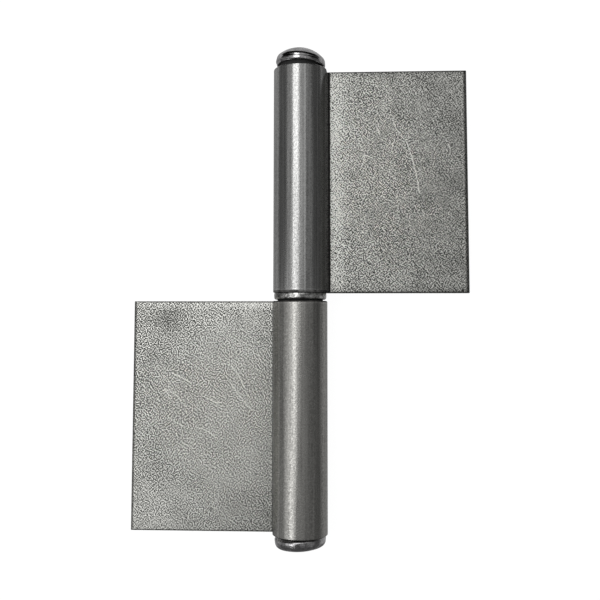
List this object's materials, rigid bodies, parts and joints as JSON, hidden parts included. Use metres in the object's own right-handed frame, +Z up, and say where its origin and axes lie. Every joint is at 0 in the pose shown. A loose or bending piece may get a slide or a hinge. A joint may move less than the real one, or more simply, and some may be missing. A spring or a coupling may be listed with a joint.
{
  "type": "weld-on lift-off hinge",
  "caption": "Weld-on lift-off flag hinge in bare steel: two joggled strip leaves with rolled eyes, a headed pin, a loose ring and a domed plug.",
  "frame": {"origin": "on the pin's axis, halfway between the tops of the two domed heads", "axes": "+Z up along the pin, +X from the pin to the upper leaf's free edge, -Y towards the front, where the eyes stand proud of the plates; the hinge is open flat, at 180 degrees"},
  "size_m": [0.1, 0.016, 0.1478],
  "materials": {
    "leaf_steel": "bare rolled strip with a fine mottled grain, burnished darker on the eyes",
    "pin_steel": "dark polished steel heads with bright edges",
    "ring_steel": "plain turned steel ring, worn round at its edges"
  },
  "bodies": {
    "lower": {"lower_leaf": "leaf_steel", "pin": "pin_steel"},
    "ring": {"thrust_ring": "ring_steel"},
    "upper": {"upper_leaf": "leaf_steel", "top_plug": "pin_steel"}
  },
  "joints": [
    {"name": "swing", "type": "hinge", "parent": "lower", "child": "ring", "pos_m": [0, 0, 0], "axis": [0, 0, 1], "continuous": true},
    {"name": "lift_off", "type": "slide", "parent": "ring", "child": "upper", "axis": [0, 0, 1], "range_m": [0, 0.06]}
  ]
}
